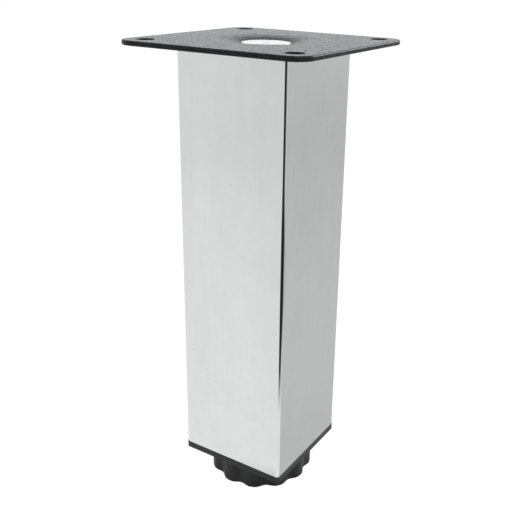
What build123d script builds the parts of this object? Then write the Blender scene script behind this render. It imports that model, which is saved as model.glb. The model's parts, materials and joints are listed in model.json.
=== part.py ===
from build123d import *

import os
from math import asin, atan2, cos, hypot, radians, sin, tan

os.makedirs("parts", exist_ok=True)

# Square furniture leg: a chrome tube, a dished mounting plate held on top by one screw, and a levelling
# foot below that turns on a threaded stud. Millimetres, +Z up. The origin is on the floor, under the
# middle of the foot, and the foot is screwed all the way in.

# Square tube
tube_side = 50.0
tube_wall = 1.2
tube_length = 180.0
tube_corner = 1.5

# Mounting plate: a stamped sheet, dished in the middle and pressed into a cone for the screw's head
plate_overhang = 16.5
plate_thickness = 2.0
plate_corner = 7.5
plate_edge = 0.4
fixing_inset = 8.5
fixing_hole = 7.2
dish_margin = 1.3
dish_lip_bend = 20.0
dish_brow = 26.8
dish_brow_depth = 0.85
dish_brow_angle = 22.0
cone_hole_room = 1.4

# Countersunk screw through the plate
screw_thread = 10.0
screw_head = 19.5
screw_head_land = 0.3
screw_head_sink = 1.2
screw_head_angle = 90.0
screw_socket = 6.0
screw_socket_depth = 2.8
screw_past_nut = 3.0
thread_lead_in = 1.0

# Nuts, held in the plastic inserts
nut_flats = 17.0
nut_height = 8.0
nut_face_inset = 0.25
nut_bevel_angle = 30.0
nut_cover = 4.0
boss_wall = 3.2

# Plastic inserts at the two ends of the tube
insert_wall = 2.2
insert_rib = 1.8
insert_corner_ease = 0.8
insert_lead_in = 0.8
plug_skirt = 16.0
cap_skirt = 22.0
cap_flange = 3.1
cap_proud = 0.2
cap_edge = 0.4

# Levelling foot
foot_travel = 15.0
stud_thread = 10.0
stud_spare = 4.0
stud_collar = 18.0
stud_collar_height = 5.0
knob_diameter = 47.2
knob_height = 10.7
knob_edge = 0.4
knob_turn = 8.5
scallop_count = 12
scallop_depth = 1.7
scallop_radius = 4.0
lobe_round = 1.4
base_recess = 0.6
base_rim = 6.0
collar_floor = 2.6

# Clearances
insert_gap = 0.1
seat_gap = 0.05
dish_gap = 0.3
nut_gap = 0.1
thread_gap = 0.06
shank_gap = 0.4
swivel_gap = 0.06
rest_gap = 0.3
least_corner = 0.3

# Heights, from the floor up
knob_top = knob_height
cap_bottom = knob_top + rest_gap
tube_bottom = cap_bottom + cap_flange
tube_top = tube_bottom + tube_length
plate_top = tube_top + plate_thickness

# Sides and radii that follow from the sizes above
tube_opening = tube_side - 2 * tube_wall
opening_corner = max(tube_corner - tube_wall, least_corner)
insert_side = tube_opening - 2 * insert_gap
insert_corner = opening_corner + insert_corner_ease
plate_side = tube_side + 2 * plate_overhang
fixing_pitch = plate_side - 2 * fixing_inset
hex_corners = 1 / cos(radians(30))

# The dish: a wide bend at its lip, a shallow slope down to a brow, a steeper slope, and the screw head's cone
head_top = plate_top - screw_head_sink
land_bottom = head_top - screw_head_land
cone_slope = radians(90 - screw_head_angle / 2)
cone_hole = screw_thread + 2 * cone_hole_room
dish_rim = tube_opening / 2 - dish_margin
brow = (dish_brow / 2, plate_top - dish_brow_depth)
brow_slope = radians(dish_brow_angle)
dish_run = dish_rim - brow[0]
dish_fall = plate_top - dish_lip_bend - brow[1]
dish_slope = atan2(dish_fall, dish_run) + asin(dish_lip_bend / hypot(dish_run, dish_fall))

# The cone starts where the slope below the brow meets the line of the screw head's own cone
seat_rise = land_bottom - (screw_head / 2 + seat_gap) * tan(cone_slope)
brow_rise = brow[1] - brow[0] * tan(brow_slope)
mouth_radius = (brow_rise - seat_rise) / (tan(cone_slope) - tan(brow_slope))
mouth = (mouth_radius, seat_rise + mouth_radius * tan(cone_slope))


def sheet_corner(corner, outer_slope, inner_slope, below):
    """Place of a corner of the pressed sheet, for a face that lies below the sheet's upper one."""
    lean = (inner_slope + outer_slope) / 2
    stretch = below / cos((inner_slope - outer_slope) / 2)
    return corner[0] + stretch * sin(lean), corner[1] - stretch * cos(lean)


# Levels of the fastenings
plug_top = tube_top - dish_gap
belly_brow = sheet_corner(brow, dish_slope, brow_slope, plate_thickness)
belly_mouth = sheet_corner(mouth, brow_slope, cone_slope, plate_thickness)
belly_end = belly_mouth[1] - (belly_mouth[0] - cone_hole / 2) * tan(cone_slope)
dish_pocket = belly_brow[1] - dish_gap
belly_pocket = belly_end - dish_gap
plug_nut_top = belly_pocket - nut_cover
plug_nut_bottom = plug_nut_top - nut_height
plug_bottom = plug_nut_top - plug_skirt
screw_tip = plug_nut_bottom - screw_past_nut
cap_nut_top = cap_bottom + nut_height
cap_top = tube_bottom + cap_skirt
collar_bottom = base_recess + collar_floor
collar_top = collar_bottom + stud_collar_height
stud_top = cap_nut_top + foot_travel + stud_spare


def disc(diameter, level):
    """Round outline at a height."""
    with BuildSketch(Plane.XY.offset(level)) as outline:
        Circle(diameter / 2)
    return outline.sketch


def square(side, corner, level):
    """Square outline with rounded corners at a height."""
    with BuildSketch(Plane.XY.offset(level)) as outline:
        RectangleRounded(side, side, corner)
    return outline.sketch


def hexagon(flats, level):
    """Six-sided outline of a nut, a nut's pocket or a key, at a height."""
    with BuildSketch(Plane.XY.offset(level)) as outline:
        RegularPolygon(flats / 2, 6, major_radius=False)
    return outline.sketch


def half_section(*points):
    """Half of a turned shape, from straight lines through points of radius and height."""
    with BuildSketch(Plane.XZ) as section:
        with BuildLine():
            Polyline(*points, close=True)
        make_face()
    return section.sketch


def dish_section(below):
    """Half section of the dish's hollow, for a face that lies below the sheet's upper one."""
    bend = dish_lip_bend - below
    lip = (dish_rim, plate_top - below)
    slope_start = (dish_rim - bend * sin(dish_slope), plate_top - dish_lip_bend + bend * cos(dish_slope))
    slope_end = sheet_corner(brow, dish_slope, brow_slope, below)
    cone_start = sheet_corner(mouth, brow_slope, cone_slope, below)
    cone_tip = (0, cone_start[1] - cone_start[0] * tan(cone_slope))
    with BuildSketch(Plane.XZ) as section:
        with BuildLine():
            TangentArc(lip, slope_start, tangent=(-1, 0))
            Polyline(slope_start, slope_end, cone_start, cone_tip, (0, plate_top - below), lip)
        make_face()
    return section.sketch


def insert_section(level):
    """Hollow section of an insert: its skin, four ribs and the boss round its nut."""
    inside = insert_side - 2 * insert_wall
    with BuildSketch(Plane.XY.offset(level)) as section:
        RectangleRounded(insert_side, insert_side, insert_corner)
        RectangleRounded(inside, inside, insert_corner, mode=Mode.SUBTRACT)
        with PolarLocations(0, 2, angular_range=180):
            Rectangle(insert_side - insert_wall, insert_rib)
        Circle(nut_flats * hex_corners / 2 + boss_wall)
    return section.sketch


def hex_nut(thread, bottom):
    """Nut with its corners turned off at the open face below."""
    top = bottom + nut_height
    face = nut_flats / 2 - nut_face_inset
    corner = nut_flats * hex_corners / 2
    bevel = (corner - face) * tan(radians(nut_bevel_angle))
    with BuildPart() as nut:
        extrude(hexagon(nut_flats, bottom), amount=nut_height)
        turned = half_section((0, bottom), (face, bottom), (corner, bottom + bevel), (corner, top), (0, top))
        revolve(turned, axis=Axis.Z, mode=Mode.INTERSECT)
        extrude(disc(thread + 2 * thread_gap, bottom), amount=nut_height, mode=Mode.SUBTRACT)
    return nut.part


# Mounting plate
with BuildPart() as mounting_plate:
    extrude(square(plate_side, plate_corner, tube_top), amount=plate_thickness)
    outer_edges = mounting_plate.edges().group_by(Axis.Z)
    chamfer(outer_edges[0] + outer_edges[-1], plate_edge)
    revolve(dish_section(plate_thickness), axis=Axis.Z)
    revolve(dish_section(0), axis=Axis.Z, mode=Mode.SUBTRACT)
    with Locations(Plane.XY.offset(plate_top)):
        Hole(cone_hole / 2)
        with GridLocations(fixing_pitch, fixing_pitch, 2, 2):
            Hole(fixing_hole / 2)
mounting_plate.part.label = "mounting_plate"
export_step(mounting_plate.part, "parts/mounting_plate.step")

# Countersunk screw that holds the plate, with a hexagon socket
with BuildPart() as plate_screw:
    shank = screw_thread / 2
    head = screw_head / 2
    turned_screw = half_section(
        (0, head_top),
        (head, head_top),
        (head, land_bottom),
        (shank, land_bottom - (head - shank) * tan(cone_slope)),
        (shank, screw_tip + thread_lead_in),
        (shank - thread_lead_in, screw_tip),
        (0, screw_tip),
    )
    revolve(turned_screw, axis=Axis.Z)
    extrude(hexagon(screw_socket, head_top), amount=-screw_socket_depth, mode=Mode.SUBTRACT)
plate_screw.part.label = "plate_screw"
export_step(plate_screw.part, "parts/plate_screw.step")

# Plastic plug in the top of the tube: pockets for the dish and its cone, and a hexagon channel for the nut
with BuildPart() as top_plug:
    extrude(insert_section(plug_bottom), amount=plug_top - plug_bottom)
    extrude(square(insert_side, insert_corner, plug_nut_top), amount=plug_top - plug_nut_top)
    extrude(disc(2 * dish_rim, dish_pocket), amount=plug_top - dish_pocket, mode=Mode.SUBTRACT)
    cone_pocket = disc(2 * (belly_brow[0] + dish_gap), belly_pocket)
    extrude(cone_pocket, amount=dish_pocket - belly_pocket, mode=Mode.SUBTRACT)
    extrude(disc(screw_thread + 2 * shank_gap, plug_nut_top), amount=nut_cover, mode=Mode.SUBTRACT)
    extrude(hexagon(nut_flats + 2 * nut_gap, plug_bottom), amount=plug_skirt, mode=Mode.SUBTRACT)
    plug_rim = top_plug.faces().sort_by(Axis.Z)[0].outer_wire().edges()
    chamfer(plug_rim, insert_lead_in)
top_plug.part.label = "top_plug"
export_step(top_plug.part, "parts/top_plug.step")

# Nut that the plate screw pulls up against the plug
with BuildPart() as plug_nut:
    add(hex_nut(screw_thread, plug_nut_bottom))
plug_nut.part.label = "plug_nut"
export_step(plug_nut.part, "parts/plug_nut.step")

# Square tube
with BuildPart() as tube:
    extrude(square(tube_side, tube_corner, tube_bottom), amount=tube_length)
    extrude(square(tube_opening, opening_corner, tube_bottom), amount=tube_length, mode=Mode.SUBTRACT)
tube.part.label = "tube"
export_step(tube.part, "parts/tube.step")

# Plastic end cap: a flange that closes the tube, on a ribbed plug that holds the foot's nut
with BuildPart() as end_cap:
    extrude(square(tube_side + 2 * cap_proud, tube_corner + cap_proud, cap_bottom), amount=cap_flange)
    chamfer(end_cap.edges().group_by(Axis.Z)[0], cap_edge)
    extrude(insert_section(tube_bottom), amount=cap_skirt)
    cap_rim = end_cap.faces().sort_by(Axis.Z)[-1].outer_wire().edges()
    chamfer(cap_rim, insert_lead_in)
    extrude(disc(stud_thread + 2 * shank_gap, cap_bottom), amount=cap_top - cap_bottom, mode=Mode.SUBTRACT)
    extrude(hexagon(nut_flats + 2 * nut_gap, cap_bottom), amount=nut_height, mode=Mode.SUBTRACT)
end_cap.part.label = "end_cap"
export_step(end_cap.part, "parts/end_cap.step")

# Nut that the foot's stud turns in
with BuildPart() as cap_nut:
    add(hex_nut(stud_thread, cap_bottom))
cap_nut.part.label = "cap_nut"
export_step(cap_nut.part, "parts/cap_nut.step")

# Threaded stud of the foot, with the collar that the knob is moulded round
with BuildPart() as foot_stud:
    rod = stud_thread / 2
    collar = stud_collar / 2
    turned_stud = half_section(
        (0, collar_bottom),
        (collar, collar_bottom),
        (collar, collar_top),
        (rod, collar_top),
        (rod, stud_top - thread_lead_in),
        (rod - thread_lead_in, stud_top),
        (0, stud_top),
    )
    revolve(turned_stud, axis=Axis.Z)
foot_stud.part.label = "foot_stud"
export_step(foot_stud.part, "parts/foot_stud.step")

# Moulded knob that the leg stands on, with scallops for the fingers round its side
with BuildPart() as foot_knob:
    knob_radius = knob_diameter / 2
    with BuildSketch(Plane.XY.rotated((0, 0, knob_turn))) as lobed:
        Circle(knob_radius)
        with PolarLocations(knob_radius - scallop_depth + scallop_radius, scallop_count):
            Circle(scallop_radius, mode=Mode.SUBTRACT)
        fillet(lobed.vertices(), lobe_round)
    extrude(amount=knob_height)
    turned_rims = half_section(
        (0, 0),
        (knob_radius - knob_edge, 0),
        (knob_radius, knob_edge),
        (knob_radius, knob_top - knob_edge),
        (knob_radius - knob_edge, knob_top),
        (0, knob_top),
    )
    revolve(turned_rims, axis=Axis.Z, mode=Mode.INTERSECT)
    extrude(disc(knob_diameter - 2 * (scallop_depth + base_rim), 0), amount=base_recess, mode=Mode.SUBTRACT)
    collar_pocket = disc(stud_collar + 2 * swivel_gap, collar_bottom - swivel_gap)
    extrude(collar_pocket, amount=stud_collar_height + 2 * swivel_gap, mode=Mode.SUBTRACT)
    extrude(disc(stud_thread + 2 * swivel_gap, collar_top), amount=knob_top - collar_top, mode=Mode.SUBTRACT)
foot_knob.part.label = "foot_knob"
export_step(foot_knob.part, "parts/foot_knob.step")
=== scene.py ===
# %% [markdown]
# # A square furniture leg
# The leg is a chrome tube with a black dished plate on top and a black scalloped levelling foot below.
# Its solids are already packed, in metres, with the foot's underside at z = 0. Loading them first gives
# every later piece its place and size, so nothing has to be fitted by eye.

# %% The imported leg
import bmesh
import bpy
import json
from math import asin, atan2, cos, degrees, pi, radians, sin, tan
from mathutils import Matrix, Vector


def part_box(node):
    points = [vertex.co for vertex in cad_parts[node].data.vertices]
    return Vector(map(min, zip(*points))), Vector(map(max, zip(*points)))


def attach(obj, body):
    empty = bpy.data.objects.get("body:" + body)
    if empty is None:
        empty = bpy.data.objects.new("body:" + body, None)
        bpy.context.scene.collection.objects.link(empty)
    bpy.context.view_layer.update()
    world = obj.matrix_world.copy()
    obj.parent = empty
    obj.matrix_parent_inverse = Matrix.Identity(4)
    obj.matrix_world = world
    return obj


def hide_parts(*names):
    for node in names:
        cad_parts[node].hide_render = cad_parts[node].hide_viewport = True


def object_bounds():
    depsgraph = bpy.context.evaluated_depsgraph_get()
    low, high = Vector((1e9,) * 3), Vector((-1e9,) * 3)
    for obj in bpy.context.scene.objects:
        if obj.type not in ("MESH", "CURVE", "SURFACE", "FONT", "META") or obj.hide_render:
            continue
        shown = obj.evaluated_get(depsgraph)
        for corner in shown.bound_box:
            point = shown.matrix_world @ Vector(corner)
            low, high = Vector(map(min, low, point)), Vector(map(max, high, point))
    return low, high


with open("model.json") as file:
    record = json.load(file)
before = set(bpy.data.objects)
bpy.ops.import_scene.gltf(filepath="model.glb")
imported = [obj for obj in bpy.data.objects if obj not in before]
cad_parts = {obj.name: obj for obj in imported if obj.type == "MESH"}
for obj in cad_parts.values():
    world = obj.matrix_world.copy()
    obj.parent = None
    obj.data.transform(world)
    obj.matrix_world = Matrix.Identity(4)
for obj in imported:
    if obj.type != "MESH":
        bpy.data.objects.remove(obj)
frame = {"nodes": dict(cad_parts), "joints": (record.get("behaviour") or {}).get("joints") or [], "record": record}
cad_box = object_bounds()
mm = 0.001
print("packed nodes:", sorted(frame["nodes"]))
print("box:", [tuple(round(v, 4) for v in c) for c in cad_box])

# %% [markdown]
# # The camera
# The photograph looks down on the leg from the front right, from about a foot away, so the tube narrows
# towards its foot. The lens and the place come from a camera fitted to the straight edges in the picture:
# the tube's long edges, the rim of its lower end and the plate's outline. The small shift is the
# picture's own crop.

# %% Camera
picture_side, sensor = 512, 36.0
focal_pixels, optical_axis = 738.3, (289.1, 236.0)
camera_place = (0.16314, -0.25028, 0.22447)
azimuth, elevation, roll = radians(31.01), radians(20.32), radians(1.40)
across = Vector((cos(azimuth), sin(azimuth), 0))
back = Vector((sin(azimuth) * cos(elevation), -cos(azimuth) * cos(elevation), sin(elevation)))
over = back.cross(across)
camera_axes = Matrix((
    cos(roll) * across + sin(roll) * over,
    cos(roll) * over - sin(roll) * across,
    back,
)).transposed()
bpy.ops.object.camera_add(location=camera_place, rotation=camera_axes.to_euler())
camera = bpy.context.object
camera.data.sensor_width = sensor
camera.data.lens = focal_pixels / picture_side * sensor
camera.data.shift_x = 0.5 - optical_axis[0] / picture_side
camera.data.shift_y = optical_axis[1] / picture_side - 0.5
camera.data.clip_start = 10 * mm
bpy.context.scene.camera = camera
bpy.context.scene.view_settings.view_transform = "Standard"
shift = [round(value, 4) for value in (camera.data.shift_x, camera.data.shift_y)]
print("lens", round(camera.data.lens, 2), "mm, shift", *shift)

# %% [markdown]
# # A kit for finishes
# A finish is a small tree of nodes round one shader. This helper adds a node, and fills each socket with
# a plain value or with the output of another node, so that a finish reads from the top down like a
# recipe.

# %% Adding nodes
def node(tree, kind, settings=(), **sockets):
    """Adds a node. Sockets, named by label or by _ and number, take values or other nodes' outputs."""
    made = tree.nodes.new("ShaderNode" + kind)
    for key, value in dict(settings).items():
        setattr(made, key, value)
    for key, value in sockets.items():
        socket = made.inputs[int(key[1:]) if key[0] == "_" else key.replace("_", " ")]
        if isinstance(value, bpy.types.NodeSocket):
            tree.links.new(value, socket)
        else:
            socket.default_value = value
    return made


print("nodes can be added")

# %% [markdown]
# # Greys, ramps and ranges
# Every finish here needs the same few steps: a grey, a ramp between colours, one range of values laid
# smoothly onto another, a mix of two colours and a little arithmetic. Each step is one node, so each
# becomes one short function.

# %% Small steps
def grey(value, warmth=0.0):
    """A grey of one brightness, with a little more or less red than blue."""
    return (value * (1 + warmth), value, value * (1 - warmth), 1.0)


def ramp(tree, fac, *stops):
    """A colour ramp through stops of place and colour."""
    made = node(tree, "ValToRGB", _0=fac)
    points = made.color_ramp.elements
    while len(points) < len(stops):
        points.new(0.5)
    for point, (place, colour) in zip(points, stops):
        point.position = place
        point.color = colour
    return made.outputs["Color"]


def spread(tree, value, known, wanted):
    """Lays a known range of values smoothly onto a wanted one."""
    smooth = {"interpolation_type": "SMOOTHSTEP"}
    made = node(tree, "MapRange", smooth, _0=value, _1=known[0], _2=known[1], _3=wanted[0], _4=wanted[1])
    return made.outputs[0]


def mix_colours(tree, share, first, second, blend="MIX"):
    """Goes from a first colour to a second one by a share."""
    settings = {"data_type": "RGBA", "blend_type": blend}
    return node(tree, "Mix", settings, _0=share, _6=first, _7=second).outputs[2]


def calc(tree, operation, first, second=0.0):
    """One step of arithmetic on one or two values."""
    return node(tree, "Math", {"operation": operation}, _0=first, _1=second).outputs[0]


print("small steps are ready")

# %% [markdown]
# # The floor
# The photograph has a white sweep: floor and backdrop run into one white. A wide disc is the floor. It
# lies where the foot reaches when it is screwed right out, so that the leg stays above it in every pose.

# %% Floor
def let_go():
    """Deselects everything, because an operator acts on all that is selected."""
    bpy.ops.object.select_all(action="DESELECT")


foot_reach = next(joint for joint in frame["joints"] if joint["type"] == "slide")["range_m"][1]
floor_gap, sweep_radius = 0.2 * mm, 6.0
floor_level = cad_box[0].z - foot_reach - floor_gap
let_go()
bpy.ops.mesh.primitive_circle_add(
    vertices=96, radius=sweep_radius, fill_type="NGON", location=(0, 0, floor_level))
floor = bpy.context.object
floor.name = "sweep_floor"
print("floor at", round(floor_level / mm, 2), "mm")

# %% [markdown]
# # What the chrome sees of the floor
# Chrome shows mostly what is round it, so in reflections the floor glows with painted shade of its own:
# a painted reflection of the room, bright in front and on the left and a little darker further out, a
# painted shadow of the leg behind it, and a dark painted shadow right under the foot. The two faces of the
# tube show just that difference. The greys of each stretch go by the distance from the leg, and the heading
# from the tube's front corner says which stretch a point of the floor belongs to.

# %% Painted shade of the mirrored floor
def stage_finish(name):
    """A new material with an empty tree, for a piece of the set that is no lamp."""
    made = bpy.data.materials.new(name)
    made.use_nodes = True
    made.cycles.emission_sampling = "NONE"
    made.node_tree.nodes.clear()
    return made, made.node_tree


white_floor, tree = stage_finish("white_floor")
tube_low, tube_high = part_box("tube")
front_corner = (tube_high.x, tube_low.y, 0)
to_the_left, to_the_back, ramp_reach = (-1, 0, 0), (-0.174, 0.985, 0), 4.0
spot = node(tree, "TexCoord").outputs["Object"]
way_out = node(tree, "VectorMath", {"operation": "LENGTH"}, _0=spot).outputs["Value"]
off_corner = node(tree, "VectorMath", {"operation": "SUBTRACT"}, _0=spot, _1=front_corner).outputs[0]
heading = node(tree, "VectorMath", {"operation": "NORMALIZE"}, _0=off_corner).outputs[0]


def towards(direction, start, full):
    """Share of a stretch of floor, by how far the heading points in a direction."""
    pointing = node(tree, "VectorMath", {"operation": "DOT_PRODUCT"}, _0=heading, _1=direction)
    return spread(tree, pointing.outputs["Value"], (start, full), (0.0, 1.0))


def painted_floor_shade(*stops):
    """Painted shade of a stretch of floor, through stops of distance from the leg in metres and brightness."""
    share = calc(tree, "DIVIDE", way_out, ramp_reach)
    return ramp(tree, share, *((distance / ramp_reach, grey(tone)) for distance, tone in stops))


# Painted shade: the first stops are a painted shadow under the foot, the greys further out a painted reflection of
# the room.
painted_shade_in_front = painted_floor_shade((0.045, 0.15), (0.055, 0.91), (0.25, 0.84), (0.6, 0.765), (0.8, 0.745))
painted_shade_on_the_left = painted_floor_shade((0.04, 0.3), (0.055, 0.91), (0.5, 0.85), (0.8, 0.79), (1.6, 0.80))
# Painted shadow of the leg behind it, darkest under the foot.
painted_shadow_at_the_back = painted_floor_shade((0.03, 0.3), (0.045, 0.57), (0.13, 0.61), (0.75, 0.555), (1.5, 0.58), (2.1, 0.62))
painted_front_half = mix_colours(tree, towards(to_the_left, 0.545, 0.65), painted_shade_in_front, painted_shade_on_the_left)
painted_floor_reflection = mix_colours(tree, towards(to_the_back, 0.38, 0.54), painted_front_half, painted_shadow_at_the_back)
print("the mirrored floor has three stretches of grey")

# %% [markdown]
# # The white floor
# To the camera the floor glows white, with a small share of ordinary matt white, so that the leg's soft
# shadow stays on it. Light that comes by a mirror or through glass gets the painted shade from above, so
# that in reflections the floor glows like a lamp though it is none, and all other light meets plain matt
# white. Light Path tells these kinds of rays apart.

# %% White floor
def mix_shaders(tree, share, first, second):
    """Goes from a first shader to a second one by a share."""
    return node(tree, "MixShader", _0=share, _1=first, _2=second).outputs[0]


def ray_kinds(tree):
    """Two masks: rays straight from the camera, and rays that come by a mirror or through glass."""
    ray = node(tree, "LightPath").outputs
    return ray["Is Camera Ray"], calc(tree, "MAXIMUM", ray["Is Glossy Ray"], ray["Is Transmission Ray"])


glow_share, glow_strength, matt_white = 0.88, 1.1, grey(0.86)
from_camera, in_gloss = ray_kinds(tree)
matt = node(tree, "BsdfDiffuse", Color=matt_white).outputs[0]
glow = node(tree, "Emission", Color=grey(1.0), Strength=glow_strength).outputs[0]
# Painted reflection: for mirrored rays the floor glows with its painted shade and painted shadow.
mirrored = node(tree, "Emission", Color=painted_floor_reflection, Strength=1.0).outputs[0]
to_camera = mix_shaders(tree, glow_share, matt, glow)
to_others = mix_shaders(tree, in_gloss, matt, mirrored)
node(tree, "OutputMaterial", Surface=mix_shaders(tree, from_camera, to_others, to_camera))
floor.data.materials.append(white_floor)
print("floor is", white_floor.name)

# %% [markdown]
# # The white room
# Above the floor there is only an even white, which the world gives without any walls. The camera sees it
# at strength 1, which is white. As light it has half of that, so that the lamps still shape the leg. In
# reflections it is a trace cooler. The top of the plate shows that, because it mirrors the room near the
# horizon.

# %% White room
light_level, cool_white = 0.5, (0.935, 0.965, 0.98, 1.0)
world = bpy.data.worlds.new("white_room")
bpy.context.scene.world = world
world.use_nodes = True
tree = world.node_tree
tree.nodes.clear()
from_camera, in_gloss = ray_kinds(tree)
room_light = node(tree, "Background", Color=grey(1.0), Strength=light_level).outputs[0]
mirrored = node(tree, "Background", Color=cool_white, Strength=1.0).outputs[0]
backdrop = node(tree, "Background", Color=grey(1.0), Strength=1.0).outputs[0]
to_others = mix_shaders(tree, in_gloss, room_light, mirrored)
node(tree, "OutputWorld", Surface=mix_shaders(tree, from_camera, to_others, backdrop))
print("room lights the leg at", light_level)

# %% [markdown]
# # A dark card for the corner
# In the photograph the tube's front corner is a thin black line: the dark room behind the camera, which
# only the rounded corner turns to. A black card bent close round that corner, seen by reflections alone,
# draws the line. It stands so near that the flat faces hardly see it.

# %% Dark card
# The card is a painted reflection: a black sheet that stands in for the dark room, where nothing stands.
tube_bend, card_radius = 1.5 * mm, 7 * mm
bend_axis = Vector((tube_high.x - tube_bend, tube_low.y + tube_bend, (tube_low.z + tube_high.z) / 2))
let_go()
bpy.ops.mesh.primitive_cylinder_add(
    vertices=96, radius=card_radius, depth=tube_high.z - tube_low.z,
    end_fill_type="NOTHING", location=bend_axis)
card = bpy.context.object
card.name = "dark_card"
card.visible_camera = card.visible_diffuse = card.visible_shadow = card.visible_transmission = False
print("dark card stands", round((card_radius - tube_bend) / mm, 1), "mm off the corner")

# %% [markdown]
# # The black part of the card
# Only a strip of the round card is black, and the rest is clear. The strip's left side is sharp and its
# right side soft, it is widest half way up, and it ends well above the foot, as the line does. Its sides
# are given in degrees from the heading of its middle, and its heights in millimetres from half way up the
# tube.

# %% Black part of the card
card_heading, left_degrees, right_degrees = radians(52), (-28, -20), (14, 66)
widest_height, widest_reach, extra_left, extra_right = 2 * mm, (10 * mm, 42 * mm), 6, 32
# Black of the painted reflection, and where on the card it is drawn.
lower_end, painted_reflection_black = (-64 * mm, -36 * mm), grey(0.025)
painted_reflection_strip, tree = stage_finish("dark_card")
spot = node(tree, "TexCoord").outputs["Object"]
turned = node(tree, "Mapping", Vector=spot, Rotation=(0, 0, pi / 2 - card_heading)).outputs[0]
round_share = node(tree, "TexGradient", {"gradient_type": "RADIAL"}, Vector=turned).outputs["Fac"]
off_heading = calc(tree, "MULTIPLY", calc(tree, "SUBTRACT", round_share, 0.5), 360.0)
height = node(tree, "SeparateXYZ", _0=spot).outputs["Z"]
off_widest = calc(tree, "ABSOLUTE", calc(tree, "SUBTRACT", height, widest_height))
wider_left = spread(tree, off_widest, widest_reach, (extra_left, 0))
wider_right = spread(tree, off_widest, widest_reach, (extra_right, 0))
left_side = spread(tree, calc(tree, "ADD", off_heading, wider_left), left_degrees, (0, 1))
right_side = spread(tree, calc(tree, "SUBTRACT", off_heading, wider_right), right_degrees, (1, 0))
above_end = spread(tree, height, lower_end, (0, 1))
covered = calc(tree, "MULTIPLY", calc(tree, "MULTIPLY", left_side, right_side), above_end)
clear = node(tree, "BsdfTransparent").outputs[0]
black = node(tree, "Emission", Color=painted_reflection_black, Strength=1.0).outputs[0]
node(tree, "OutputMaterial", Surface=mix_shaders(tree, covered, clear, black))
card.data.materials.append(painted_reflection_strip)
print("black strip heads", round(degrees(card_heading), 1), "degrees from the front")

# %% [markdown]
# # Lamps
# One wide soft lamp from the front right and above is the key. A second one stands lower, behind on the
# right, and lifts the right-hand edges of the plate and of the foot. Both are large, because a small lamp
# would draw hard shadows and points of light that the photograph doesn't have.

# %% Lamps
leg_middle = Vector((0, 0, 100 * mm))


def softbox(name, place, width, height, power):
    """A soft lamp that looks at the middle of the leg."""
    aim = leg_middle - Vector(place)
    bpy.ops.object.light_add(type="AREA", location=place, rotation=aim.to_track_quat("-Z", "Y").to_euler())
    lamp = bpy.context.object
    lamp.name = name
    lamp.data.shape = "RECTANGLE"
    lamp.data.size, lamp.data.size_y = width, height
    lamp.data.energy = power


softbox("key_softbox", (0.8, -0.6, 1.5), 0.9, 0.9, 14.0)
softbox("back_softbox", (0.85, 1.35, 0.7), 1.2, 0.9, 18.0)
print("two softboxes are up")

# %% [markdown]
# # Tools for the finishes
# Each finish of the leg is one Principled shader. What is the same all over is set straight on its
# sockets. What varies comes from noise, seldom from one alone, so there is a tool that weighs several
# against each other.

# %% Tools for the finishes
def finish(name, **same_all_over):
    """A new material: its tree and its shader, with the sockets that are the same all over already set."""
    made = bpy.data.materials.new(name)
    made.use_nodes = True
    shader = made.node_tree.nodes["Principled BSDF"]
    for key, value in same_all_over.items():
        shader.inputs[key.replace("_", " ")].default_value = value
    return made, made.node_tree, shader


def vary(tree, shader, **textures):
    """Links textures to the sockets of a shader that they vary."""
    for key, texture in textures.items():
        tree.links.new(texture, shader.inputs[key.replace("_", " ")])


def noise(tree, spot, scale, detail, roughness=0.5):
    """Cloudy noise, with so many spots to the metre."""
    return node(tree, "TexNoise", Vector=spot, Scale=scale, Detail=detail, Roughness=roughness).outputs[0]


def weighed(tree, *parts):
    """Adds up textures, each times its own weight."""
    total = 0.0
    for texture, weight in parts:
        total = calc(tree, "ADD", total, calc(tree, "MULTIPLY", texture, weight))
    return total


print("tools for the finishes are ready")

# %% [markdown]
# # Chrome
# Bright chrome is a mirror with a trace of blue-grey. What makes it look real is what spoils the mirror:
# long faint wiping marks down the tube, smudges where the polish is softer, a fine mottle, a few dark
# specks and some hairline scratches. Noise that is stretched along the tube gives the long ones. All of
# them together move the colour only slightly, and the smudges also move the roughness and bend the mirror
# by a hair.

# %% Chrome finish
chrome, tree, shader = finish("bright_chrome", Metallic=1.0)
spot = node(tree, "TexCoord").outputs["Object"]
wiped = node(tree, "Mapping", Vector=spot, Scale=(1.0, 1.0, 0.08)).outputs[0]
drawn = node(tree, "Mapping", Vector=spot, Scale=(1.0, 1.0, 0.7)).outputs[0]
leaning = node(tree, "Mapping", Vector=spot, Rotation=(0.03, 0.02, 0), Scale=(1.0, 1.0, 0.04)).outputs[0]
wipes = noise(tree, wiped, 220.0, 5.0, 0.6)
smudges = noise(tree, spot, 55.0, 3.0)
mottle = noise(tree, drawn, 420.0, 5.0, 0.65)
specks = node(tree, "TexVoronoi", Vector=spot, Scale=110.0).outputs["Distance"]
hairlines = node(tree, "TexVoronoi", Vector=leaning, Scale=300.0).outputs["Distance"]
polish = weighed(tree, (wipes, 0.25), (smudges, 0.45), (mottle, 0.3))
tone = ramp(tree, polish, (0.3, (0.755, 0.765, 0.765, 1.0)), (0.7, (0.83, 0.835, 0.833, 1.0)))
speck_tone = spread(tree, specks, (0.02, 0.035), (0.72, 1.0))
hairline_tone = spread(tree, hairlines, (0.02, 0.07), (0.88, 1.0))
marks = calc(tree, "MULTIPLY", speck_tone, hairline_tone)
vary(tree, shader,
     Base_Color=mix_colours(tree, 1.0, tone, marks, "MULTIPLY"),
     Roughness=spread(tree, smudges, (0.3, 0.75), (0.045, 0.1)),
     Normal=node(tree, "Bump", Strength=0.03, Distance=0.2 * mm, Height=smudges).outputs[0])
print("finish:", chrome.name)
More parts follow.
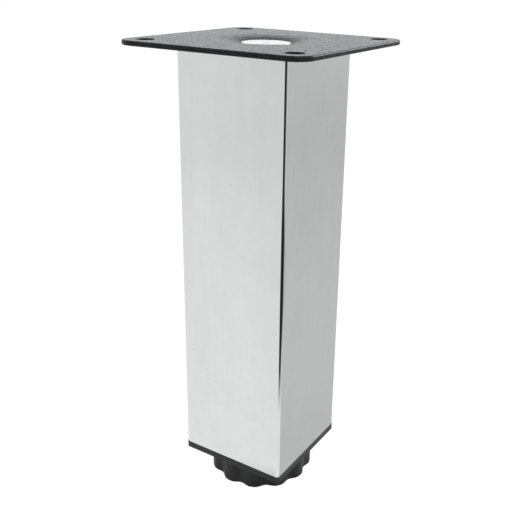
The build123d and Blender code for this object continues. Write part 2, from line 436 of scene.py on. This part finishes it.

# %% [markdown]
# # Powder coat
# The plate is baked black powder: a hard skin with a fine orange-peel grain, whose pits are painted darker
# as painted shade. The grain is a bump of about a millimetre's width, with the rounder cells of the peel on
# top. The pits move the colour, as that painted shade, and the gloss, and a wider drift keeps the gloss
# from being too even.

# %% Powder coat finish
powder, tree, shader = finish("black_powder_coat", Specular_IOR_Level=0.165)
spot = node(tree, "TexCoord").outputs["Object"]
grain = noise(tree, spot, 1000.0, 3.0, 0.6)
drift = noise(tree, spot, 220.0, 2.0)
peel = node(tree, "TexVoronoi", {"feature": "SMOOTH_F1"}, Vector=spot, Scale=900.0).outputs["Distance"]
grained = node(tree, "Bump", Strength=0.15, Distance=0.12 * mm, Height=grain).outputs[0]
vary(tree, shader,
     # Painted shade: the low pits of the grain are painted darker.
     Base_Color=ramp(tree, grain, (0.35, grey(0.005, -0.06)), (0.65, grey(0.014, -0.05))),
     Roughness=spread(tree, weighed(tree, (grain, 0.85), (drift, 0.15)), (0.30, 0.70), (0.09, 0.39)),
     Normal=node(tree, "Bump", Strength=0.12, Distance=0.12 * mm, Height=peel, Normal=grained).outputs[0])
print("finish:", powder.name)

# %% [markdown]
# # Zinc
# The screw, the nuts and the stud are bright zinc on turned steel, so fine rings run round their axis. A
# sine of the distance from the axis draws the rings as a bump, and a cloud of noise makes the plating
# slightly uneven.

# %% Zinc finish
ring_width = 0.35 * mm
zinc, tree, shader = finish("bright_zinc", Metallic=1.0)
spot = node(tree, "TexCoord").outputs["Object"]
flat_spot = node(tree, "VectorMath", {"operation": "MULTIPLY"}, _0=spot, _1=(1, 1, 0)).outputs[0]
from_axis = node(tree, "VectorMath", {"operation": "LENGTH"}, _0=flat_spot).outputs["Value"]
turned_rings = calc(tree, "SINE", calc(tree, "MULTIPLY", from_axis, 2 * pi / ring_width))
cloud = noise(tree, spot, 350.0, 4.0)
vary(tree, shader,
     Base_Color=ramp(tree, cloud, (0.3, (0.93, 0.92, 0.90, 1.0)), (0.7, (0.99, 0.98, 0.96, 1.0))),
     Roughness=spread(tree, cloud, (0.3, 0.7), (0.20, 0.34)),
     Normal=node(tree, "Bump", Strength=0.08, Distance=0.02 * mm, Height=turned_rings).outputs[0])
print("finish:", zinc.name)

# %% [markdown]
# # Black plastic
# The end cap, the plug and the knob came out of a spark-eroded mould: satin, with a very fine grain and,
# from handling, slightly glossier patches. The grain is a bump, and the patches move the colour and the
# gloss.

# %% Plastic finish
plastic, tree, shader = finish("satin_black_plastic", Specular_IOR_Level=0.4)
spot = node(tree, "TexCoord").outputs["Object"]
spark = noise(tree, spot, 3200.0, 2.0)
handled = noise(tree, spot, 90.0, 4.0)
vary(tree, shader,
     Base_Color=ramp(tree, handled, (0.3, grey(0.006, -0.05)), (0.7, grey(0.011, -0.04))),
     Roughness=spread(tree, handled, (0.3, 0.7), (0.24, 0.36)),
     Normal=node(tree, "Bump", Strength=0.15, Distance=0.05 * mm, Height=spark).outputs[0])
print("finish:", plastic.name)

# %% [markdown]
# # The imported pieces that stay
# Pieces whose solid is right as it is only need their finish. The others are modelled below, and take the
# place of their solid.

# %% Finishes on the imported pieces
def wear(piece, material):
    """Gives a piece one finish all over."""
    piece.data.materials.clear()
    piece.data.materials.append(material)


finish_of_slot = {
    "chrome_plate": chrome, "black_coating": powder, "zinc_steel": zinc, "black_plastic": plastic,
}
for subpart in frame["record"]["subparts"]:
    wear(frame["nodes"][subpart["node"]], finish_of_slot[subpart["material_slot"]])

# %% [markdown]
# # Modelling by hand
# Operators act on whatever is selected. Making one object the only selected one, and picking corners,
# edges or faces by a test of their place, does in code what a click does in the window.

# %% Selecting
def take(piece):
    """Makes a piece the only selected object, and the active one."""
    let_go()
    piece.select_set(True)
    bpy.context.view_layer.objects.active = piece


def pick(kind, test):
    """In edit mode, selects only the vertices, edges or faces that pass a test, and counts them."""
    bpy.ops.mesh.select_mode(type=kind)
    bpy.ops.mesh.select_all(action="DESELECT")
    shape = bmesh.from_edit_mesh(bpy.context.object.data)
    items = {"VERT": shape.verts, "EDGE": shape.edges, "FACE": shape.faces}[kind]
    chosen = [item for item in items if test(item)]
    for item in chosen:
        item.select_set(True)
    shape.select_flush_mode()
    bmesh.update_edit_mesh(bpy.context.object.data)
    return len(chosen)


def upright(edge):
    """True for an edge that runs along Z."""
    a, b = edge.verts
    return abs(a.co.z - b.co.z) > 0.9 * edge.calc_length()


def level(edge, height, slack=0.01 * mm):
    """True for an edge that lies at a height."""
    return all(abs(corner.co.z - height) < slack for corner in edge.verts)


print("tools for selecting are ready")

# %% [markdown]
# # From a primitive to a piece
# Each piece starts as a primitive, is shaped in edit mode and is settled at the end: its place goes into
# its mesh, its doubled corners are merged, its faces turn outwards, and curves are shaded smooth while
# corners stay crisp. Then it gets its finish, the body that it moves with, and the solid that it stands
# for.

# %% Beginning and settling
crisp_angle = radians(35)


def begin(name):
    """Names the primitive that was just added, puts its place into its mesh and opens it in edit mode."""
    piece = bpy.context.object
    piece.name = piece.data.name = name
    bpy.ops.object.transform_apply(location=True, rotation=True, scale=True)
    bpy.ops.object.mode_set(mode="EDIT")
    return piece


def close_up(weld=0.0005 * mm):
    """Merges doubled corners, turns every face outwards and leaves edit mode."""
    bpy.ops.mesh.select_all(action="SELECT")
    bpy.ops.mesh.remove_doubles(threshold=weld)
    bpy.ops.mesh.normals_make_consistent(inside=False)
    bpy.ops.object.mode_set(mode="OBJECT")


def settle(piece, material, body, packed):
    """Finishes a modelled piece: its shading, its finish, its body and the solid it stands for."""
    take(piece)
    bpy.ops.object.shade_smooth_by_angle(angle=crisp_angle)
    bpy.ops.object.modifier_add(type="WEIGHTED_NORMAL")
    piece.modifiers[-1].keep_sharp = True
    bpy.ops.object.modifier_apply(modifier=piece.modifiers[-1].name)
    wear(piece, material)
    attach(piece, body)
    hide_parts(packed)
    print(piece.name, "has", len(piece.data.polygons), "faces")


print("pieces can be begun and settled")

# %% [markdown]
# # The tube
# Square steel tube is bent from sheet and welded, so its corners are small round bends and not edges. A
# box with its four long edges bevelled gives the bends. An inset of the two ends by the wall, bridged
# through the tube, gives the inside, and a hair of bevel at the sawn ends takes the burr off.

# %% Chrome tube
tube_wall, sawn_edge = 1.2 * mm, 0.12 * mm
let_go()
bpy.ops.mesh.primitive_cube_add(size=1, location=(tube_low + tube_high) / 2, scale=tube_high - tube_low)
tube = begin("chrome_tube")
pick("EDGE", upright)
bpy.ops.mesh.bevel(offset=tube_bend, segments=14, profile=0.5)
pick("FACE", lambda face: abs(face.normal.z) > 0.9)
bpy.ops.mesh.inset(thickness=tube_wall, use_even_offset=True)
bpy.ops.mesh.bridge_edge_loops()


def sawn(edge):
    """True for an edge round one of the tube's ends, inside or outside."""
    at_an_end = level(edge, tube_low.z) or level(edge, tube_high.z)
    return at_an_end and any(abs(face.normal.z) < 0.5 for face in edge.link_faces)


pick("EDGE", sawn)
bpy.ops.mesh.bevel(offset=sawn_edge, segments=2, profile=0.5)
close_up()
settle(tube, chrome, "leg", "tube")

# %% [markdown]
# # Lines that are spun
# The dish in the plate, the screw and the stud are all round. A round piece is fastest drawn as half of
# its section: one line of points, with some of its corners rounded, that is then spun once about the
# leg's axis. Such a shape can also be a tool, which is joined to another piece or cut out of it.

# %% Drawing and spinning
def line_of(name, points):
    """Draws one open line through points of radius and height, and stays in edit mode."""
    let_go()
    bpy.ops.mesh.primitive_circle_add(vertices=3, radius=mm, location=(points[0][0], 0, points[0][1]))
    piece = begin(name)
    bpy.ops.mesh.select_mode(type="VERT")
    bpy.ops.mesh.select_all(action="SELECT")
    bpy.ops.mesh.merge(type="CENTER")
    for (radius, height), (next_radius, next_height) in zip(points, points[1:]):
        step = (next_radius - radius, 0, next_height - height)
        bpy.ops.mesh.extrude_vertices_move(TRANSFORM_OT_translate={"value": step})
    return piece


def round_off(point, reach, segments, slack=0.01 * mm):
    """Rounds one corner of a drawn line: the curve starts and ends at a reach from the corner."""
    place = Vector((point[0], 0, point[1]))
    pick("VERT", lambda corner: (corner.co - place).length < slack)
    bpy.ops.mesh.bevel(affect="VERTICES", offset=reach, segments=segments, profile=0.5)


def spin_round(steps=96):
    """Spins the drawn line into a closed piece and leaves edit mode."""
    bpy.ops.mesh.select_all(action="SELECT")
    bpy.ops.mesh.spin(steps=steps, angle=2 * pi, center=(0, 0, 0), axis=(0, 0, 1))
    close_up()


def combine(piece, operation, tool):
    """Adds a tool to a piece, cuts it out of it or keeps what both share, and throws the tool away."""
    take(piece)
    bpy.ops.object.modifier_add(type="BOOLEAN")
    change = piece.modifiers[-1]
    change.operation, change.solver, change.object = operation, "EXACT", tool
    bpy.ops.object.modifier_apply(modifier=change.name)
    bpy.data.objects.remove(tool)


print("drawing, spinning and combining are ready")

# %% [markdown]
# # The sheet of the plate
# The plate is one steel sheet: cut out, punched, and pressed down in the middle so that the screw's head
# lies below its face. It begins as a flat box. A wide bevel rounds its four corners, and a small one
# softens both rims, as the powder does.

# %% Sheet of the plate
sheet, sheet_corner, sheet_rim = 2.0 * mm, 7.5 * mm, 0.6 * mm
plate_low, plate_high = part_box("mounting_plate")
plate_top, underside = plate_high.z, plate_high.z - sheet
sheet_size = (plate_high.x - plate_low.x, plate_high.y - plate_low.y, sheet)
let_go()
bpy.ops.mesh.primitive_cube_add(size=1, location=(0, 0, plate_top - sheet / 2), scale=sheet_size)
plate = begin("pressed_plate")
pick("EDGE", upright)
bpy.ops.mesh.bevel(offset=sheet_corner, segments=20, profile=0.5)
pick("EDGE", lambda edge: level(edge, underside) or level(edge, plate_top))
bpy.ops.mesh.bevel(offset=sheet_rim, segments=5, profile=0.5)
close_up()
print("sheet is", [round(side / mm, 1) for side in sheet_size], "mm")

# %% [markdown]
# # The section of the dish
# From outside to inside the dish has a wide bend at its lip, a shallow slope down to a brow, a steeper
# slope, and a cone that the screw's head fills. The slope to the brow is the line that just touches the
# lip's bend. The cone is set by the land of the screw's head, and its mouth is where it meets the slope
# below the brow.

# %% Section of the dish
dish_rim, lip_bend = 22.5 * mm, 45.0 * mm
brow_radius, brow_depth = 13.4 * mm, 0.85 * mm
brow_slope, cone_slope = radians(22), radians(45)
brow = Vector((brow_radius, plate_top - brow_depth))
to_bend = Vector((dish_rim, plate_top - lip_bend)) - brow
dish_slope = atan2(to_bend.y, to_bend.x) + asin(lip_bend / to_bend.length)

head_land, head_fit = 0.3 * mm, 0.05 * mm
screw_low, screw_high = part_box("plate_screw")
head_rim = Vector((screw_high.x + head_fit, screw_high.z - head_land))
down_to_rim = brow.y - head_rim.y - (brow.x - head_rim.x) * tan(brow_slope)
past_rim = down_to_rim / (tan(cone_slope) - tan(brow_slope))
mouth = head_rim + past_rim * Vector((1, tan(cone_slope)))
print("dish slopes", round(degrees(dish_slope), 1), "degrees down to its brow")
print("cone starts at radius", round(mouth.x / mm, 2), "mm")

# %% [markdown]
# # Pressing the dish
# The dish is two spun shapes one sheet apart: the belly is joined on from below, then the hollow is cut
# from above. Each is lifted by a hair, so that its lip crosses the sheet's face and doesn't just touch
# it. A corner of the belly lies on the line that halves the corner above it, which keeps the sheet
# equally thick on both sides.

# %% Pressed dish
hair, brow_reach, mouth_reach = 0.004 * mm, 2.0 * mm, 0.3 * mm


def sheet_turn(corner, outer_slope, inner_slope, below):
    """Place of a corner of the pressed sheet, for a face that lies below the upper one."""
    lean, stretch = (outer_slope + inner_slope) / 2, below / cos((inner_slope - outer_slope) / 2)
    return corner.x + stretch * sin(lean), corner.y - stretch * cos(lean) + hair


def dish_shape(name, below, far_end):
    """A spun shape that follows the dish, at a depth below the plate's face, and ends at a far height."""
    lip = plate_top - below + hair
    lip_reach = (lip_bend - below) * tan(dish_slope / 2)
    lip_turn = (dish_rim - lip_reach, lip)
    brow_turn = sheet_turn(brow, dish_slope, brow_slope, below)
    mouth_turn = sheet_turn(mouth, brow_slope, cone_slope, below)
    cone_tip = (0, mouth_turn[1] - mouth_turn[0] * tan(cone_slope))
    outside = dish_rim + sheet / 4
    side = [cone_tip, mouth_turn, brow_turn, lip_turn]
    piece = line_of(name, side + [(outside, lip), (outside, far_end), (0, far_end)])
    round_off(lip_turn, lip_reach, 14)
    round_off(brow_turn, brow_reach, 10)
    round_off(mouth_turn, mouth_reach, 4)
    spin_round()
    return piece


combine(plate, "UNION", dish_shape("belly", sheet, plate_top - sheet / 2))
combine(plate, "DIFFERENCE", dish_shape("hollow", 0, plate_top + sheet))
print("plate has", len(plate.data.polygons), "faces with its dish")

# %% [markdown]
# # The punched holes
# Four screw holes near the corners and the large one at the cone's end go through the sheet. Powder
# rounds sharp edges, so the rims of the four open holes get a small bevel, which catches the light.

# %% Punched holes
pattern = next(mount for mount in frame["record"]["mounts"] if mount["kind"] == "bolt_pattern")["dims"]
hole_radius, centre_hole, punch_length, hole_edge = pattern["hole_r_mm"] * mm, 6.4 * mm, 40 * mm, 0.3 * mm
half_x, half_y = pattern["spacing_x_mm"] / 2 * mm, pattern["spacing_y_mm"] / 2 * mm
hole_places = [Vector((x, y)) for x in (-half_x, half_x) for y in (-half_y, half_y)]
rim_slack = 0.05 * mm


def punch(x, y, radius):
    """Cuts one round hole through the plate."""
    let_go()
    bpy.ops.mesh.primitive_cylinder_add(
        vertices=64, radius=radius, depth=punch_length, location=(x, y, plate_top))
    combine(plate, "DIFFERENCE", bpy.context.object)


def on_a_rim(edge):
    """True for an edge on the rim of one of the four holes, above or below."""
    def round_a_hole(place):
        return all(abs((corner.co.xy - place).length - hole_radius) < rim_slack for corner in edge.verts)
    return (level(edge, plate_top) or level(edge, underside)) and any(round_a_hole(p) for p in hole_places)


for place in hole_places:
    punch(*place, hole_radius)
punch(0, 0, centre_hole)
take(plate)
bpy.ops.object.mode_set(mode="EDIT")
print("rim edges softened:", pick("EDGE", on_a_rim))
bpy.ops.mesh.bevel(offset=hole_edge, segments=2, profile=0.5)
close_up()
settle(plate, powder, "leg", "mounting_plate")

# %% [markdown]
# # The screw in the dish
# The bright disc in the dish is the head of the countersunk screw that holds the plate, with a hexagon
# socket. Its section is a short land at the rim, a cone and a shank. It is spun, and the socket is cut
# with a six-sided bar.

# %% Plate screw
head_radius, head_edge, shank, screw_tip = screw_high.x, 0.12 * mm, 5.0 * mm, 1.0 * mm
head_top, land_end = screw_high.z, screw_high.z - head_land
cone_end = land_end - (head_radius - shank) * tan(cone_slope)
screw = line_of("plate_screw_head", [
    (0, head_top), (head_radius, head_top), (head_radius, land_end), (shank, cone_end),
    (shank, screw_low.z + screw_tip), (shank - screw_tip, screw_low.z), (0, screw_low.z),
])
round_off((head_radius, head_top), head_edge, 4)
spin_round()

socket_flats, socket_depth, socket_edge = 6.0 * mm, 2.8 * mm, 0.5 * mm
socket_corner = socket_flats / 2 / cos(pi / 6)
let_go()
bpy.ops.mesh.primitive_cylinder_add(
    vertices=6, radius=socket_corner, depth=2 * socket_depth,
    location=(0, 0, head_top), rotation=(0, 0, pi / 6))
combine(screw, "DIFFERENCE", bpy.context.object)


def round_the_socket(edge):
    """True for an edge round the mouth of the socket."""
    near = all(corner.co.xy.length < socket_corner + socket_edge for corner in edge.verts)
    return near and level(edge, head_top)


take(screw)
bpy.ops.object.mode_set(mode="EDIT")
print("socket edges softened:", pick("EDGE", round_the_socket))
bpy.ops.mesh.bevel(offset=socket_edge, segments=3, profile=0.5)
close_up()
settle(screw, zinc, "leg", "plate_screw")

# %% [markdown]
# # The cage of the knob
# The foot's knob is moulded, so its twelve finger grooves run softly into its lobes. That calls for a
# subdivided surface over a coarse cage: a ring of 72 corners, six to each groove and lobe, is extruded
# along the section, from the recess under the knob, round its outside and into the room that the stud's
# collar fills. Pairs of close rings keep the moulded edges small.

# %% Cage of the knob
lobes, first_groove, lobe_radius, lobe_edge = 12, radians(8.5), 23.63 * mm, 0.4 * mm
knob_top, flat_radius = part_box("foot_knob")[1].z, 21.0 * mm
recess, recess_depth = 15.9 * mm, 0.6 * mm
stud_hole, collar_room, room_floor, room_top = 5.07 * mm, 9.07 * mm, 3.14 * mm, 8.26 * mm
here = (recess - 0.7 * mm, recess_depth)
under = [
    (recess - 0.1 * mm, recess_depth), (recess, recess_depth - 0.1 * mm),
    (recess, 0.15 * mm), (recess + 0.2 * mm, 0), (flat_radius, 0),
]
outside = [
    (lobe_radius - lobe_edge, 0), (lobe_radius, lobe_edge), (lobe_radius, 3 * lobe_edge),
    (lobe_radius, knob_top - 3 * lobe_edge), (lobe_radius, knob_top - lobe_edge),
    (lobe_radius - lobe_edge, knob_top), (flat_radius, knob_top),
]
inside = [
    (stud_hole + 0.33 * mm, knob_top), (stud_hole, knob_top - 0.3 * mm),
    (stud_hole, room_top + 0.24 * mm), (stud_hole + 0.23 * mm, room_top),
    (collar_room - 0.17 * mm, room_top), (collar_room, room_top - 0.16 * mm),
    (collar_room, room_floor + 0.16 * mm), (collar_room - 0.17 * mm, room_floor),
]
let_go()
bpy.ops.mesh.primitive_circle_add(
    vertices=6 * lobes, radius=here[0], fill_type="NGON",
    location=(0, 0, here[1]), rotation=(0, 0, first_groove))
knob = begin("scalloped_knob")
bpy.ops.mesh.select_mode(type="EDGE")
bpy.ops.mesh.select_all(action="SELECT")
bpy.ops.mesh.region_to_loop()
for ring in under + outside + inside:
    bpy.ops.mesh.extrude_edges_move(TRANSFORM_OT_translate={"value": (0, 0, ring[1] - here[1])})
    bpy.ops.transform.resize(value=(ring[0] / here[0], ring[0] / here[0], 1), center_override=(0, 0, 0))
    here = ring
bpy.ops.mesh.edge_face_add()
print("knob's cage has", len(under + outside + inside), "rings")

# %% [markdown]
# # The grooves of the knob
# Every sixth column of corners on the outside is drawn in deep, and its two neighbours about half as far.
# The other three stay out as the lobe. Two levels of subdivision then turn the cage into soft scallops.

# %% Scalloped knob
groove_step, groove_radius, side_radius = 360 / lobes, 21.65 * mm, 22.45 * mm
column_step, outside_from = groove_step / 6, 22 * mm


def draw_in(off_groove, radius):
    """Draws the outer corners that stand at an angle off each groove in to a radius."""
    def chosen(corner):
        turn = degrees(atan2(corner.co.y, corner.co.x) - first_groove)
        off = abs((turn + groove_step / 2) % groove_step - groove_step / 2)
        return corner.co.xy.length > outside_from and abs(off - off_groove) < 1
    picked = pick("VERT", chosen)
    share = radius / lobe_radius
    bpy.ops.transform.resize(value=(share, share, 1), center_override=(0, 0, 0))
    return picked


print("groove corners:", draw_in(0, groove_radius), "side corners:", draw_in(column_step, side_radius))
close_up()
bpy.ops.object.modifier_add(type="SUBSURF")
smooth = knob.modifiers[-1]
smooth.levels = smooth.render_levels = 2
bpy.ops.object.modifier_apply(modifier=smooth.name)
settle(knob, plastic, "foot", "foot_knob")

# %% [markdown]
# # The thread of the stud
# The stud only shows when the foot is screwed out, and then its thread is what the eye expects. One turn
# of the thread is a short line, and the Screw modifier winds it up the stud, one pitch for each turn. Two
# cuts close its ends.

# %% Stud's thread
stud_low, stud_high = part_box("foot_stud")
pitch, crest, root = 1.5 * mm, 5.0 * mm, 4.08 * mm
root_flat, crest_start, crest_end = 0.19 * mm, 0.66 * mm, 0.84 * mm
seam, cut_slack, end_trim = 0.002 * mm, 0.0001 * mm, 0.001 * mm
thread_start = stud_low.z + 1.0 * mm
turns = int((stud_high.z - thread_start) / pitch) + 2
one_turn = [
    (root, 0), (root, root_flat), (crest, crest_start),
    (crest, crest_end), (root, pitch - root_flat), (root, pitch),
]
stud = line_of("threaded_stud", [(radius, thread_start + height) for radius, height in one_turn])
bpy.ops.object.mode_set(mode="OBJECT")
bpy.ops.object.modifier_add(type="SCREW")
winding = stud.modifiers[-1]
winding.screw_offset, winding.iterations, winding.use_merge_vertices = pitch, turns, True
winding.steps = winding.render_steps = 36
bpy.ops.object.modifier_apply(modifier=winding.name)
bpy.ops.object.mode_set(mode="EDIT")
bpy.ops.mesh.select_all(action="SELECT")
bpy.ops.mesh.remove_doubles(threshold=seam)
for height, upper in ((thread_start + 2 * pitch, False), (stud_high.z - end_trim, True)):
    bpy.ops.mesh.select_all(action="SELECT")
    bpy.ops.mesh.bisect(plane_co=(0, 0, height), plane_no=(0, 0, 1), threshold=cut_slack,
                        use_fill=True, clear_outer=upper, clear_inner=not upper)
close_up()
print("thread turns:", turns)

# %% [markdown]
# # The stud's tip and collar
# A turned blank with a bevelled tip trims the thread, as the bar is bevelled before a thread is rolled on
# it. Then the collar, which holds the stud in the knob, is spun and joined on.

# %% Threaded stud
blank_radius, stud_tip, stud_top = crest + 0.05 * mm, 1.0 * mm, stud_high.z
blank_end = thread_start + pitch
blank = line_of("blank", [
    (0, blank_end), (blank_radius, blank_end), (blank_radius, stud_top - stud_tip),
    (blank_radius - stud_tip, stud_top), (0, stud_top),
])
spin_round(72)
combine(stud, "INTERSECT", blank)

collar_radius, collar_edge = 9.0 * mm, 0.3 * mm
collar_bottom, collar_top = stud_low.z, stud_low.z + 5.0 * mm
collar = line_of("collar", [
    (0, collar_bottom), (collar_radius, collar_bottom), (collar_radius, collar_top), (0, collar_top),
])
round_off((collar_radius, collar_bottom), collar_edge, 3)
round_off((collar_radius, collar_top), collar_edge, 3)
spin_round(72)
combine(stud, "UNION", collar)
settle(stud, zinc, "stud", "foot_stud")
